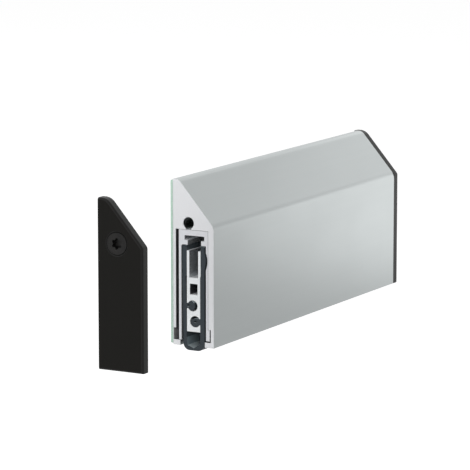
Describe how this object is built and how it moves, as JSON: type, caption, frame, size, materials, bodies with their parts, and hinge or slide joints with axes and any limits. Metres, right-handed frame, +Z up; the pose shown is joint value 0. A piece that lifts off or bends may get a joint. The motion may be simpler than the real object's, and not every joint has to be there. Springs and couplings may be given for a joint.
{
  "type": "automatic drop-down door seal",
  "caption": "Glue-on aluminium door seal with a sloped top, whose rubber blade drops when the end button is pushed; one end cap is taken off.",
  "frame": {"origin": "centre of the adhesive tape's outer face, on the door's surface", "axes": "+X along the door's foot towards the actuator end, +Y into the door, +Z up"},
  "size_m": [0.1991, 0.0171, 0.0595],
  "materials": {
    "anodised_aluminium": "satin natural anodised",
    "mill_aluminium": "plain extruded, sawn ends",
    "adhesive_tape": "translucent foam tape",
    "seal_rubber": "matt dark slate rubber",
    "cap_plastic": "black, fine satin grain",
    "black_steel": "black oxide",
    "bright_steel": "zinc plated",
    "spring_steel": "tempered strip",
    "slide_plastic": "dark nylon",
    "button_plastic": "black nylon"
  },
  "bodies": {
    "root": {"outer_profile": "anodised_aluminium", "adhesive_tape": "adhesive_tape", "seal_housing": "mill_aluminium", "rear_end_cap": "cap_plastic", "rear_cap_screw": "black_steel", "fixed_block": "slide_plastic", "fixed_block_screw": "bright_steel", "rod_guide": "slide_plastic", "leaf_spring": "spring_steel"},
    "drop_blade": {"seal_carrier": "mill_aluminium", "rubber_seal": "seal_rubber", "spring_saddle": "slide_plastic", "saddle_pin": "bright_steel", "saddle_rivet": "bright_steel"},
    "push_slider": {"moving_block": "slide_plastic", "push_rod": "bright_steel", "push_rod_pin": "bright_steel"},
    "button": {"push_button": "button_plastic"},
    "loose_cap": {"front_end_cap": "cap_plastic", "front_cap_screw": "black_steel"}
  },
  "joints": [
    {"name": "blade_drop", "type": "slide", "parent": "root", "child": "drop_blade", "axis": [0, 0, -1], "range_m": [0, 0.01], "stiffness_N_per_m": 300, "springref_m": -0.005, "deforming": ["leaf_spring"]},
    {"name": "rod_push", "type": "slide", "parent": "root", "child": "push_slider", "axis": [-1, 0, 0], "range_m": [0, 0.00464]},
    {"name": "button_turn", "type": "hinge", "parent": "push_slider", "child": "button", "pos_m": [0.0799, -0.00948, 0.0072], "axis": [1, 0, 0], "continuous": true},
    {"name": "cap_fit", "type": "slide", "parent": "root", "child": "loose_cap", "axis": [1, 0, 0], "range_m": [0, 0.0441]}
  ],
  "couplings": [
    {"joint": "rod_push", "follows": "blade_drop", "ratio": 0.46445}
  ]
}
